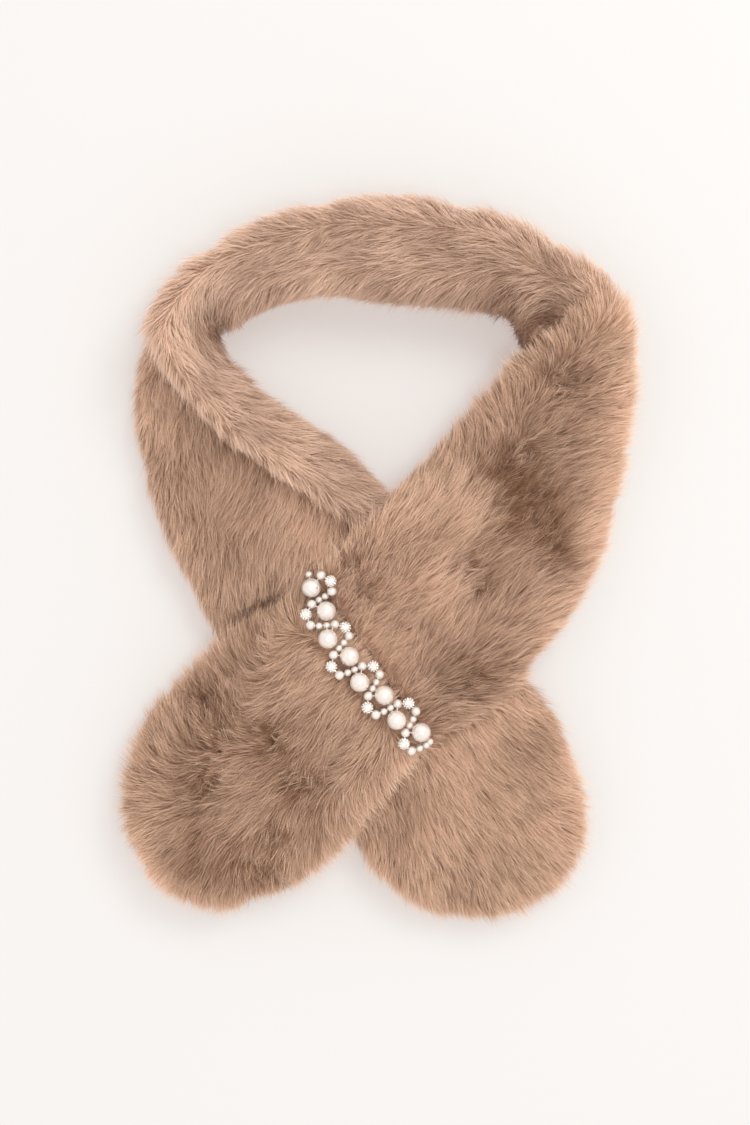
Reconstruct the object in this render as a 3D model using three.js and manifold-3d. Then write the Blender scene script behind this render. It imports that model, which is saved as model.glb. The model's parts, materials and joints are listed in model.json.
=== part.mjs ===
// A collar wrap of double-faced fur, laid flat with one end pulled through its pearl loop.
// Millimetres. +Z is up, +Y points to the back of the neck, and the wrap rests on z = 0.

import * as THREE from 'three';
import { mergeVertices } from 'three/addons/utils/BufferGeometryUtils.js';
import Module from 'manifold-3d';

// Driving dimensions

const SEAM_GAP = 0.3; // kept between pieces that touch
const UPPER_POINTS = 18; // points over the upper half of one section of the strip
const LOWER_POINTS = 6; // and under its lower half
const RINGS_PER_ROW = 2; // sections made for each row of a table
const EDGE_FULLNESS = 2.6; // 2 is an ellipse, more gives fuller edges
const UNDERSIDE_PRESS = 1.3; // how much of the underside its weight lays flat
const ROW_LENGTH = 22; // usual distance between two rows of a table

const PEARL_DIAMETER = 9.8;
const RHINESTONE_DIAMETER = 6;
const MIDDLE_BEAD_DIAMETER = 4.8;
const SMALL_BEAD_DIAMETER = 3.8;
const THREAD_DIAMETER = 1.2;
const THREAD_SIDES = 3;
const THREAD_STEP = 2; // how often its height over the fur is felt
const PEARL_COUNT = 8;
const PEARL_OFFSET = 2.3; // from the strap's middle line, to alternate sides
const END_REACH = 6.7; // from the first and last large pearl to the small bead at each end

// The two ends of the fur strip, as they lie. Each row is one section across the strip:
// its edge nearer the neck, its other edge, the height of its crown, and how deep the
// groove between two folded layers runs in from the outer edge.

const COLUMNS = ['innerX', 'innerY', 'innerZ', 'outerX', 'outerY', 'outerZ', 'crown', 'groove'];

const BACK_NECK_ROWS = [
  [92, 107, 20, 126, 134, 20, 38, 0],
  [82, 109, 22, 118, 150, 22, 46, 3],
  [68, 121, 24, 95, 166, 24, 54, 5],
  [52, 126, 26, 67, 179, 25, 58, 6],
  [28, 129, 28, 37, 187, 26, 60, 6],
  [3, 131, 28, 7, 189, 26, 60, 6],
  [-23, 135, 28, -26, 186, 26, 60, 6],
  [-46, 131, 28, -58, 177, 26, 60, 6],
  [-64, 123, 28, -87, 162, 26, 58, 5],
  [-76, 114, 28, -108, 144, 28, 56, 4],
  [-79, 108, 28, -119, 121, 33, 55, 2],
  [-73, 101, 27, -114, 107, 40, 55, 0],
  [-66, 93, 26, -104, 91, 42, 54, 0],
  [-52, 82, 25, -89, 74, 42, 53, 0],
  [-35, 72, 24, -70, 56, 42, 53, 0],
  [-19, 61, 24, -51, 43, 41, 52, 0],
  [-8, 50, 24, -30, 30, 40, 50, 0],
  [4, 39, 22, -14, 18, 38, 46, 0],
  [14, 29, 20, 0, 9, 34, 40, 0],
];

const UNDER_STRIP_ROWS = [
  [-84, 118, 13, -108, 126, 14, 24, 0],
  [-81, 108, 14, -120, 108, 14, 27, 0],
  [-67, 90, 14, -124, 86, 13, 29, 0],
  [-48, 76, 14, -124, 68, 13, 30, 0],
  [-29, 61, 14, -121, 49, 13, 31, 0],
  [-13, 45, 14, -114, 28, 13, 31, 0],
  [0, 29, 14, -106, 6, 13, 30, 0],
  [11, 11, 13, -95, -15, 13, 29, 0],
  [25, -10, 13, -84, -39, 13, 27, 0],
  [40, -30, 12, -70, -64, 12, 25, 0],
  [57, -48, 12, -54, -86, 12, 25, 0],
  [82, -60, 13, -37, -108, 12, 26, 0],
  [95, -78, 14, -22, -128, 12, 28, 0],
  [103, -100, 14, -13, -143, 12, 30, 0],
  [108, -119, 14, -7, -153, 13, 31, 0],
  [109, -135, 14, 3, -163, 13, 31, 0],
  [105, -151, 13, 14, -172, 13, 29, 0],
  [93, -167, 12, 29, -181, 12, 26, 0],
  [75, -178, 11, 46, -184, 11, 20, 0],
];
const UNDER_TAIL_FROM_ROW = 9; // hidden under the crossing

const UPPER_STRIP_ROWS = [
  [97, 127, 30, 122, 139, 28, 46, 0],
  [94, 121, 34, 129, 132, 28, 56, 0],
  [87, 116, 36, 133, 119, 26, 60, 0],
  [72, 107, 32, 134, 97, 22, 56, 0],
  [61, 91, 28, 133, 82, 19, 50, 0],
  [48, 78, 24, 130, 62, 16, 44, 0],
  [35, 63, 22, 127, 41, 14, 39, 0],
  [22, 50, 26, 123, 21, 14, 41, 0],
  [10, 39, 34, 116, 0, 14, 48, 0],
  [0, 28, 42, 105, -22, 15, 54, 0],
  [-9, 19, 42, 90, -43, 20, 56, 0],
  [-18, 9, 40, 73, -64, 28, 56, 0],
  [-27, 0, 37, 49, -81, 33, 53, 0],
  [-34, -7, 34, 28, -94, 32, 46, 0],
  [-51, -20, 35, 17, -103, 33, 52, 0],
  [-71, -32, 32, 10, -111, 35, 53, 0],
  [-90, -50, 20, 3, -120, 35, 49, 0],
  [-108, -66, 16, -4, -128, 34, 45, 0],
  [-120, -84, 15, -10, -136, 32, 43, 0],
  [-128, -105, 15, -15, -144, 27, 42, 0],
  [-129, -125, 15, -23, -152, 19, 40, 0],
  [-126, -144, 15, -36, -162, 16, 37, 0],
  [-115, -162, 14, -53, -172, 14, 32, 0],
  [-97, -174, 12, -75, -178, 12, 22, 0],
];
const UPPER_TAIL_FROM_ROW = 13; // under the pearl strap

// Creases and hollows that show in the fur: the line that each follows, how wide it is, how deep.

const CREASE_COLUMNS = ['fromX', 'fromY', 'toX', 'toY', 'width', 'depth'];

const BACK_NECK_CREASES = [
  [-82, 139, -38, 153, 8, 5], // along the fold, three lengths
  [-38, 153, 13, 157, 8, 6],
  [13, 157, 60, 152, 8, 5],
  [-87, 119, -80, 127, 11, 11], // the pocket where the lapel begins
  [88, 122, 104, 130, 9, 9], // the pocket at the right shoulder
];

const RIGHT_FRONT_CREASES = [
  [46, -20, 56, -6, 10, 5], // flattened spots
  [80, 20, 92, 40, 14, 5],
];

const UPPER_TAIL_CREASES = [
  [-90, -111, -84, -111, 13, 7], // swirls in the pile
  [-70, -80, -62, -72, 11, 6],
  [-28, -104, -14, -88, 9, 6], // where it folds beside the pearl strap
];

// The pearl strap: its middle line over the pinched fur, from its upper end to its lower end.

const STRAP_COLUMNS = ['x', 'y'];
const STRAP_ROWS = [
  [-32, 0],
  [-28, -20],
  [-23, -34],
  [-17, -45],
  [-8, -56],
  [1, -66],
  [10, -75],
  [19, -84],
  [32, -99],
];
const STRAP_START = 12.5; // from the strap's upper end to its first large pearl
const PEARL_PITCH = 13.2;

// The beads that go round each large pearl, on the strap's other side, in the order they are
// strung: how far on along the strap, how far across, and their diameter.

const BEAD_COLUMNS = ['along', 'across', 'diameter'];
const BEAD_ROWS = [
  [-5.2, 6.1, MIDDLE_BEAD_DIAMETER],
  [-1.5, 10.3, RHINESTONE_DIAMETER],
  [3.9, 9.9, MIDDLE_BEAD_DIAMETER],
  [5.7, 6.0, SMALL_BEAD_DIAMETER],
  [6.8, 2.5, SMALL_BEAD_DIAMETER],
];

// Colours and finishes

const FUR = { color: 0x9f7d68, roughness: 0.95, metalness: 0 };
const FUR_UNDER = { color: 0xa98771, roughness: 0.95, metalness: 0 };
const FUR_INNER = { color: 0xb8937e, roughness: 0.95, metalness: 0 };
const PEARL = { color: 0xf2ece4, roughness: 0.25, metalness: 0 };

const wasm = await Module();
wasm.setup();

// Turns rows of numbers into objects with named columns.
function table(columns, rows) {
  return rows.map((row) => Object.fromEntries(columns.map((name, i) => [name, row[i]])));
}

// How far the creases lower the fur at one place.
function creaseDepth(creases, x, y) {
  let depth = 0;
  for (const crease of creases) {
    const from = new THREE.Vector3(crease.fromX, crease.fromY, 0);
    const to = new THREE.Vector3(crease.toX, crease.toY, 0);
    const place = new THREE.Vector3(x, y, 0);
    const nearest = new THREE.Line3(from, to).closestPointToPoint(place, true, new THREE.Vector3());
    const away = nearest.distanceTo(place) / crease.width;
    depth = Math.max(depth, crease.depth * Math.exp(-away * away));
  }
  return depth;
}

// Raises a number to a power and keeps its sign.
function signedPower(value, power) {
  return Math.sign(value) * Math.abs(value) ** power;
}

// A closed loft through the sections from one row of a table to another. Its upper half
// crowns and carries the creases, and its lower half is pressed flat on what it rests on.
function stretchGeometry(rows, fromRow, toRow, creaseRows = []) {
  const creases = table(CREASE_COLUMNS, creaseRows);
  const inner = new THREE.CatmullRomCurve3(rows.map((r) => new THREE.Vector3(r.innerX, r.innerY, r.innerZ)));
  const outer = new THREE.CatmullRomCurve3(rows.map((r) => new THREE.Vector3(r.outerX, r.outerY, r.outerZ)));
  const build = new THREE.CatmullRomCurve3(rows.map((r) => new THREE.Vector3(r.crown, r.groove, 0)));
  const ringCount = Math.round((toRow - fromRow) * RINGS_PER_ROW) + 1;
  const ringSize = UPPER_POINTS + LOWER_POINTS;
  const points = [];
  for (let ring = 0; ring < ringCount; ring += 1) {
    const row = fromRow + (toRow - fromRow) * (ring / (ringCount - 1));
    const t = row / (rows.length - 1);
    const innerEdge = inner.getPoint(t);
    const outerEdge = outer.getPoint(t);
    const { x: crown, y: groove } = build.getPoint(t);
    const middle = innerEdge.clone().add(outerEdge).multiplyScalar(0.5);
    const half = outerEdge.clone().sub(innerEdge).multiplyScalar(0.5);
    for (let i = 0; i < ringSize; i += 1) {
      const angle = Math.PI * (i < UPPER_POINTS ? i / UPPER_POINTS : 1 + (i - UPPER_POINTS) / LOWER_POINTS);
      const across = signedPower(-Math.cos(angle), 2 / EDGE_FULLNESS);
      const up = signedPower(Math.sin(angle), 2 / EDGE_FULLNESS);
      const reach = across > 0.99 ? across - groove / half.length() : across;
      const point = middle.clone().addScaledVector(half, reach);
      if (up > 0) {
        point.z += up * (crown - middle.z - creaseDepth(creases, point.x, point.y));
      } else {
        point.z = Math.max(0, point.z * (1 + up * UNDERSIDE_PRESS));
      }
      points.push(point);
    }
  }
  return closedTube(points, ringCount, ringSize);
}

// Skins rings of points, and closes both ends with a fan.
function closedTube(points, ringCount, ringSize) {
  const index = [];
  const at = (ring, i) => ring * ringSize + (i % ringSize);
  for (let ring = 0; ring < ringCount - 1; ring += 1) {
    for (let i = 0; i < ringSize; i += 1) {
      index.push(at(ring, i), at(ring + 1, i), at(ring + 1, i + 1));
      index.push(at(ring, i), at(ring + 1, i + 1), at(ring, i + 1));
    }
  }
  const capPoints = [...points];
  for (const ring of [0, ringCount - 1]) {
    const centre = new THREE.Vector3();
    for (let i = 0; i < ringSize; i += 1) {
      centre.add(points[at(ring, i)]);
    }
    capPoints.push(centre.divideScalar(ringSize));
    const hub = capPoints.length - 1;
    for (let i = 0; i < ringSize; i += 1) {
      const edge = ring === 0 ? [at(ring, i), at(ring, i + 1)] : [at(ring, i + 1), at(ring, i)];
      index.push(hub, ...edge);
    }
  }
  const geometry = new THREE.BufferGeometry().setFromPoints(capPoints);
  geometry.setIndex(volumeInside(capPoints, index) < 0 ? index.reverse() : index);
  return geometry;
}

// The volume that a closed surface holds, negative where its faces point in.
function volumeInside(points, index) {
  let volume = 0;
  for (let i = 0; i < index.length; i += 3) {
    const [a, b, c] = index.slice(i, i + 3).map((corner) => points[corner]);
    volume += a.dot(b.clone().cross(c)) / 6;
  }
  return volume;
}

// The same surface, moved out everywhere by a little.
function grown(geometry, distance) {
  const bigger = geometry.clone();
  bigger.computeVertexNormals();
  const position = bigger.getAttribute('position');
  const normal = bigger.getAttribute('normal');
  for (let i = 0; i < position.count; i += 1) {
    const moved = new THREE.Vector3().fromBufferAttribute(position, i);
    moved.addScaledVector(new THREE.Vector3().fromBufferAttribute(normal, i), distance);
    position.setXYZ(i, moved.x, moved.y, moved.z);
  }
  bigger.deleteAttribute('normal');
  return bigger;
}

// A closed surface as a solid that can be joined and cut.
function solidOf(geometry) {
  const bare = geometry.clone();
  bare.deleteAttribute('normal');
  bare.deleteAttribute('uv');
  const merged = mergeVertices(bare, 1e-4);
  return new wasm.Manifold(new wasm.Mesh({
    numProp: 3,
    vertProperties: new Float32Array(merged.getAttribute('position').array),
    triVerts: new Uint32Array(merged.getIndex().array),
  }));
}

// The largest body of a solid, as a surface again.
function surfaceOf(solid) {
  const bodies = solid.decompose();
  bodies.sort((a, b) => b.volume() - a.volume());
  const mesh = bodies[0].getMesh();
  const geometry = new THREE.BufferGeometry();
  geometry.setAttribute('position', new THREE.BufferAttribute(mesh.vertProperties, 3));
  geometry.setIndex(new THREE.BufferAttribute(mesh.triVerts, 1));
  return geometry;
}

// A stretch that lies on others: what it would share with them is cut away, and a seam's gap more.
function laidOn(geometry, others) {
  let solid = solidOf(geometry);
  for (const other of others) {
    solid = solid.subtract(solidOf(grown(other, SEAM_GAP)));
  }
  return surfaceOf(solid);
}

function furMesh(name, geometry, finish) {
  const mesh = new THREE.Mesh(geometry, new THREE.MeshStandardMaterial(finish));
  mesh.name = name;
  return mesh;
}

// The fur strip, from the layer on the floor to the one on top

const seam = SEAM_GAP / ROW_LENGTH;
const underRows = table(COLUMNS, UNDER_STRIP_ROWS);
const upperRows = table(COLUMNS, UPPER_STRIP_ROWS);
const neckRows = table(COLUMNS, BACK_NECK_ROWS);

const leftFront = stretchGeometry(underRows, 0, UNDER_TAIL_FROM_ROW);
const underTail = stretchGeometry(underRows, UNDER_TAIL_FROM_ROW + seam, underRows.length - 1);
const backNeck = laidOn(
  stretchGeometry(neckRows, 0, neckRows.length - 1, BACK_NECK_CREASES),
  [leftFront],
);
const rightFront = laidOn(
  stretchGeometry(upperRows, 0, UPPER_TAIL_FROM_ROW, RIGHT_FRONT_CREASES),
  [leftFront, underTail, backNeck],
);
const upperTail = laidOn(
  stretchGeometry(upperRows, UPPER_TAIL_FROM_ROW + seam, upperRows.length - 1, UPPER_TAIL_CREASES),
  [leftFront, underTail],
);

// The pearl strap

const furUnderStrap = [leftFront, underTail, rightFront, upperTail].map(
  (geometry) => new THREE.Mesh(geometry, new THREE.MeshBasicMaterial({ side: THREE.DoubleSide })),
);
const STRAP_CLEAR_HEIGHT = 100; // above everything
const SEAT_DIRECTIONS = 12; // places round a bead where the fur under it is felt
const SEAT_SHARES = [0.3, 0.55, 0.75, 0.9, 1]; // and how far out, as shares of its radius

// The height of the fur at one place.
function furHeight(x, y) {
  const ray = new THREE.Raycaster(new THREE.Vector3(x, y, STRAP_CLEAR_HEIGHT), new THREE.Vector3(0, 0, -1));
  const hit = ray.intersectObjects(furUnderStrap)[0];
  return hit ? hit.point.z : 0;
}

// Where a bead comes to rest on the fur: its centre, above the highest fur under it.
function restingBead(x, y, diameter) {
  const radius = diameter / 2 + SEAM_GAP;
  let height = furHeight(x, y) + radius;
  for (let i = 0; i < SEAT_DIRECTIONS; i += 1) {
    const angle = (i * 2 * Math.PI) / SEAT_DIRECTIONS;
    for (const share of SEAT_SHARES) {
      const away = radius * share;
      const drop = Math.sqrt(radius * radius - away * away);
      height = Math.max(height, furHeight(x + away * Math.cos(angle), y + away * Math.sin(angle)) + drop);
    }
  }
  return { centre: new THREE.Vector3(x, y, height), diameter };
}

function strungBeads() {
  const line = new THREE.CatmullRomCurve3(
    table(STRAP_COLUMNS, STRAP_ROWS).map((row) => new THREE.Vector3(row.x, row.y, 0)),
  );
  const length = line.getLength();
  const beads = [];
  const add = (along, across, diameter) => {
    const t = THREE.MathUtils.clamp(along / length, 0, 1);
    const place = line.getPointAt(t);
    const direction = line.getTangentAt(t);
    const side = new THREE.Vector3(direction.y, -direction.x, 0);
    place.addScaledVector(side, across);
    beads.push(restingBead(place.x, place.y, diameter));
  };
  add(STRAP_START - END_REACH, PEARL_OFFSET, SMALL_BEAD_DIAMETER);
  for (let pearl = 0; pearl < PEARL_COUNT; pearl += 1) {
    const side = pearl % 2 === 0 ? 1 : -1;
    const along = STRAP_START + pearl * PEARL_PITCH;
    add(along, side * PEARL_OFFSET, PEARL_DIAMETER);
    for (const bead of table(BEAD_COLUMNS, BEAD_ROWS)) {
      add(along + bead.along, side * (PEARL_OFFSET - bead.across), bead.diameter);
    }
  }
  const lastPearl = STRAP_START + (PEARL_COUNT - 1) * PEARL_PITCH;
  add(lastPearl + END_REACH, -PEARL_OFFSET, SMALL_BEAD_DIAMETER);
  return beads;
}

function beadGeometry(bead) {
  let geometry = new THREE.OctahedronGeometry(bead.diameter / 2, 1);
  if (bead.diameter > MIDDLE_BEAD_DIAMETER) {
    geometry = new THREE.IcosahedronGeometry(bead.diameter / 2, bead.diameter === PEARL_DIAMETER ? 2 : 1);
  }
  return geometry.translate(bead.centre.x, bead.centre.y, bead.centre.z);
}

// The thread between two beads runs straight, or over the fur where that is higher.
function threadStops(from, to) {
  const stops = [from];
  const steps = Math.ceil(from.distanceTo(to) / THREAD_STEP);
  for (let step = 1; step < steps; step += 1) {
    const stop = from.clone().lerp(to, step / steps);
    const lowest = furHeight(stop.x, stop.y) + THREAD_DIAMETER + SEAM_GAP;
    if (lowest > stop.z) {
      stop.z = lowest;
      stops.push(stop);
    }
  }
  stops.push(to);
  return stops;
}

function threadGeometry(from, to) {
  const run = to.clone().sub(from);
  const geometry = new THREE.CylinderGeometry(THREAD_DIAMETER / 2, THREAD_DIAMETER / 2, run.length(), THREAD_SIDES);
  geometry.applyQuaternion(
    new THREE.Quaternion().setFromUnitVectors(new THREE.Vector3(0, 1, 0), run.clone().normalize()),
  );
  const middle = from.clone().add(to).multiplyScalar(0.5);
  return geometry.translate(middle.x, middle.y, middle.z);
}

function pearlLoopGeometry() {
  const beads = strungBeads();
  let solid = solidOf(beadGeometry(beads[0]));
  for (let i = 1; i < beads.length; i += 1) {
    solid = solid.add(solidOf(beadGeometry(beads[i])));
    const stops = threadStops(beads[i - 1].centre, beads[i].centre);
    for (let stop = 1; stop < stops.length; stop += 1) {
      solid = solid.add(solidOf(threadGeometry(stops[stop - 1], stops[stop])));
    }
  }
  return surfaceOf(solid);
}

const pearlLoop = pearlLoopGeometry();

const group = new THREE.Group();
group.add(furMesh('left_front', leftFront, FUR));
group.add(furMesh('under_tail', underTail, FUR_UNDER));
group.add(furMesh('back_neck', backNeck, FUR_INNER));
group.add(furMesh('right_front', rightFront, FUR));
group.add(furMesh('upper_tail', upperTail, FUR));
group.add(furMesh('pearl_loop', pearlLoop, PEARL));

// The origin is the middle of the underside of the whole wrap.
const box = new THREE.Box3().setFromObject(group);
const centre = box.getCenter(new THREE.Vector3());
group.position.set(-centre.x, -centre.y, 0);

export default group;
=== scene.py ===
"""A fur collar wrap, laid flat and crossed, one end pulled through its loop of pearls."""

import json
import math

import bmesh
import bpy
import numpy as np
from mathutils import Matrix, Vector
from mathutils.bvhtree import BVHTree

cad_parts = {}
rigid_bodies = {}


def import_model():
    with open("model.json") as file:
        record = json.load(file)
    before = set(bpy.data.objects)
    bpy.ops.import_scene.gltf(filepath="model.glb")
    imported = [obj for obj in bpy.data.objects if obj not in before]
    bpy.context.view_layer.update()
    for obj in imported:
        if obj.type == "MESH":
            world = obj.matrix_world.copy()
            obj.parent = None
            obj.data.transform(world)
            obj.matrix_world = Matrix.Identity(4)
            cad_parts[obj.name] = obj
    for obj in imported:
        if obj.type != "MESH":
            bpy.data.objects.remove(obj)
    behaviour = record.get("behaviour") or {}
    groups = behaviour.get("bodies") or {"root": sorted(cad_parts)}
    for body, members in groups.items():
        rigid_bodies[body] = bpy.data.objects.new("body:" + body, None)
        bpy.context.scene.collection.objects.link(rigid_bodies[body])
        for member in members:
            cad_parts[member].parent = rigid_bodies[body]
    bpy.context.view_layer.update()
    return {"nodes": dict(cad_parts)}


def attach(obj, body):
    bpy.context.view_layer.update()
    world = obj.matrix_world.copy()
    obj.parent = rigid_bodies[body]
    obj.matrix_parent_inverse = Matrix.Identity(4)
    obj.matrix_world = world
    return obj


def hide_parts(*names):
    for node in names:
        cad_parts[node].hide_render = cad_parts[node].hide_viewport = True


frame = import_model()
MM = 0.001

# The table top, the lamps and the camera
# The wrap lies on a matt, near-white table. One broad soft lamp stands at its upper right, a
# smaller one nearly overhead, in a white room, and the camera looks straight down.

TABLE_SIZE = 6.0
TABLE_WHITE = (0.40, 0.45, 0.46, 1)
TABLE_PAINTED_GLOW = (0.412, 0.328, 0.302, 1)  # painted light: the table top glows warm of itself, to lift and warm the shadows on it
ROOM_LIGHT = (1.0, 0.975, 0.955, 1)
ROOM_STRENGTH = 0.93
LAMP_COLOUR = (1.0, 0.97, 0.94)
LAMPS = (  # name, x, y, z, width, watts
    ("key", 0.75, 0.85, 1.5, 0.9, 12.5),
    ("fill", 0.16, -0.2, 1.7, 0.5, 6.5),
)
CAMERA_HEIGHT = 1.4
CAMERA_AIM = (-0.0023, -0.0023)
VIEW_LENGTH = 0.585  # of the table top, along the picture's long side
SENSOR_LENGTH = 36.0

scene = bpy.context.scene
scene.view_settings.view_transform = "Standard"


def principled(name):
    """A new material and its Principled shader."""
    material = bpy.data.materials.new(name)
    material.use_nodes = True
    return material, material.node_tree.nodes["Principled BSDF"]


def feed(socket, value):
    """Gives one input of a node a value, or another node's output."""
    if isinstance(value, bpy.types.NodeSocket):
        socket.id_data.links.new(value, socket)
    else:
        socket.default_value = value


def set_inputs(node, **values):
    """Feeds a node's inputs by their names, written with _ for a space."""
    for name, value in values.items():
        feed(node.inputs[name.replace("_", " ")], value)


def new_piece(name, mesh):
    """An object of that mesh, at the origin, in the scene."""
    piece = bpy.data.objects.new(name, mesh)
    scene.collection.objects.link(piece)
    return piece


def make_table():
    """The table top, as a part of the stage."""
    half = TABLE_SIZE / 2
    mesh = bpy.data.meshes.new("table_top")
    corners = [(-half, -half, 0), (half, -half, 0), (half, half, 0), (-half, half, 0)]
    mesh.from_pydata(corners, [], [(0, 1, 2, 3)])
    material, shader = principled("table_paint")
    set_inputs(shader, Base_Color=TABLE_WHITE, Roughness=0.9, Specular_IOR_Level=0.1)
    # painted light: the table top glows warm of itself, which lightens and warms the shade on it
    set_inputs(shader, Emission_Color=TABLE_PAINTED_GLOW, Emission_Strength=1.0)
    mesh.materials.append(material)
    new_piece("table_top", mesh)


def light_the_table():
    """The white room and its lamps, which all aim at the middle of the table."""
    room = bpy.data.worlds.new("white_room")
    room.use_nodes = True
    set_inputs(room.node_tree.nodes["Background"], Color=ROOM_LIGHT, Strength=ROOM_STRENGTH)
    scene.world = room
    for name, x, y, z, width, watts in LAMPS:
        data = bpy.data.lights.new(name, "AREA")
        data.shape = "DISK"
        data.size = width
        data.energy = watts
        data.color = LAMP_COLOUR
        lamp = bpy.data.objects.new(name, data)
        lamp.location = (x, y, z)
        lamp.rotation_euler = Vector((x, y, z)).to_track_quat("Z", "Y").to_euler()
        scene.collection.objects.link(lamp)


def set_camera():
    """The camera over the table, at the photograph's angle and distance."""
    data = bpy.data.cameras.new("camera")
    data.sensor_width = SENSOR_LENGTH
    data.lens = SENSOR_LENGTH * CAMERA_HEIGHT / VIEW_LENGTH
    camera = bpy.data.objects.new("camera", data)
    camera.location = (*CAMERA_AIM, CAMERA_HEIGHT)
    scene.collection.objects.link(camera)
    scene.camera = camera


make_table()
light_the_table()
set_camera()

# The fur strip, left front
# The wrap is one long strip of plush fur, face out all round: a woven backing that carries a
# pile 12 to 15 mm long. This stretch lies lowest, from the left shoulder down to the crossing.

BACKING_MESH = 3.6 * MM  # between the points of the backing
BACKING_THICKNESS = 1.6 * MM
PILE_DEPTH = 7.2 * MM  # from the tips of the fur down to its backing
EDGE_DEPTH = 5.4 * MM  # and along the outline
PRESSED_DEPTH = 3.2 * MM  # and where it lies on the table
HELD_DEPTH = 2.5 * MM  # and under the strap of pearls
TOUCHING_DEPTH = 1.5 * MM  # and where it lies against another stretch
TOUCHING = 5 * MM  # how near that is
MOST_THROUGH = 0.42  # the most of the form's thickness that the pile of one face takes
LOWEST_SKIN = PRESSED_DEPTH * 0.8  # over the table
HELD_WIDTH = 8 * MM  # to either side of the strap's middle line
HELD_PILE = 0.75  # the share of its length that the pile keeps there
HEMMED_PILE = 0.6  # and where other stretches hem it in
BENT_PILE = 0.12  # how much shorter it is in a crease or on a ridge, for each mm of its depth
MOST_BENT = 4.0  # mm
CREASE_PAINTED_SHADE = 0.04  # painted shade: how much darker the fur is coloured in a crease, for each mm of its depth
DROOP = 0.45  # how much the fur hangs down, high up on the wrap
DROOP_HEIGHTS = (8 * MM, 24 * MM)  # where that begins, and where it is full
SIGHT = 300 * MM  # how far each point looks out for other stretches over it
SIGHT_WAYS = 8  # round about it
SIGHT_RISE = 0.7  # how steeply they go up
TABLE_NEAR = 40  # mm: the table closes off a way that meets it sooner than this
STRAP = (  # x, y in mm: the middle line of the strap of pearls, from its upper end to the lower
    (-34.4, -2.3), (-30.4, -22.3), (-25.4, -36.3), (-19.4, -47.3), (-10.4, -58.3),
    (-1.4, -68.3), (7.6, -77.3), (16.6, -86.3), (29.6, -101.3),
)
LOCK_STRANDS = 8
LOCK_KINDS = 9
LOCK_LENGTH = 13.5 * MM
LOCK_WIDTH = 3.4 * MM  # across the roots of one lock
LOCK_SIZES = (0.8, 1.16)  # the smallest and largest lock, as shares
LOWEST_TIP = 0.3 * MM  # over the table
CLUMP_SIZE = 9 * MM  # the waves in which the locks lie
ROOT_RISE = (38, 58)  # degrees that a strand stands up at its root
TIP_RISE = (0, 18)  # and at its tip
STRAND_SHARES = (0.55, 1.15)  # the shortest and longest strand of a lock
STRAND_SWAY = 0.12  # the most that it bends sideways, as a share of its length
STRAND_TWIST = 0.9  # and that its flat side turns away, in radians
STRAND_WIDTH = 0.25 * MM
STRAND_STEPS = (0.0, 0.5, 1.0)  # along it, from the root
STRAND_TAPER = (1.0, 0.8, 0.0)  # the share of its width that it has there
EDGE_PAINTED_LIGHT = 0.65  # painted light: how much lighter the fur is coloured along its outline, as though lit through from behind
OPENING_PAINTED_LIGHT = 0.06  # and along the neck opening, also painted light
NECK_CENTRE = (0, 100 * MM)
ZONE_REACH = 9 * MM  # how far one zone's comb direction holds before the next takes over
FUR_SEED = 11

SOLIDS = {name: BVHTree.FromObject(frame["nodes"][name], bpy.context.evaluated_depsgraph_get())
          for name in ("left_front", "under_tail", "back_neck", "right_front", "upper_tail")}
ZONE = ("x", "y", "combed", "tone")  # mm, mm, degrees from +X, and 0 for dark fur to 1 for light, with painted shade and painted light laid in at some places
SWIRL = ("x", "y", "radius", "turn", "tone")  # matted pile: its twist, and how much lighter it is; the dark ones in the shoulder pockets and along the slit are painted shade
CREASE = ("from_x", "from_y", "to_x", "to_y", "width", "depth")  # below 0 for a ridge


def rows_of(columns, rows):
    """A table's rows, each with its values under their columns' names."""
    return [dict(zip(columns, row)) for row in rows]


def smooth_step(value, low, high):
    """0 up to the low value, 1 from the high one on, and smooth in between."""
    t = np.clip((value - low) / (high - low), 0, 1)
    return t * t * (3 - 2 * t)


def evened(values, edges, rounds):
    """Values at the points of a mesh, each averaged with its neighbours' a few times."""
    values = np.array(values, float)
    count = np.bincount(edges.ravel(), minlength=len(values)).astype(float)
    for _ in range(rounds):
        total = np.zeros_like(values)
        np.add.at(total, edges[:, 0], values[edges[:, 1]])
        np.add.at(total, edges[:, 1], values[edges[:, 0]])
        mean = total / (count[:, None] if values.ndim == 2 else count)
        values = (values + mean) / 2
    return values


def plain_mesh(piece, name):
    """The piece's mesh with its modifiers applied."""
    evaluated = piece.evaluated_get(bpy.context.evaluated_depsgraph_get())
    mesh = bpy.data.meshes.new_from_object(evaluated)
    mesh.name = name
    return mesh


def rows_from(items, field, width, kind=float):
    """That field of each item, a row for each."""
    values = np.empty(len(items) * width, kind)
    items.foreach_get(field, values)
    return values.reshape(-1, width)


def read_skin(mesh):
    """The mesh's points, the way that each of them faces, and its edges."""
    return (rows_from(mesh.vertices, "co", 3), rows_from(mesh.vertex_normals, "vector", 3),
            rows_from(mesh.edges, "vertices", 2, int))


def even_skin(node):
    """The node's form as one evenly spaced, softened mesh."""
    mesh = frame["nodes"][node].data.copy()
    merged = bmesh.new()
    merged.from_mesh(mesh)
    bmesh.ops.remove_doubles(merged, verts=merged.verts, dist=1e-6)
    merged.to_mesh(mesh)
    merged.free()
    mesh.materials.clear()
    piece = new_piece("skin", mesh)
    remesh = piece.modifiers.new("even", "REMESH")
    remesh.mode = "VOXEL"
    remesh.voxel_size = BACKING_MESH
    soften = piece.modifiers.new("soften", "SMOOTH")
    soften.factor = 0.5
    soften.iterations = 6
    skin = plain_mesh(piece, node + "_backing")
    bpy.data.objects.remove(piece)
    return skin


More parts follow.
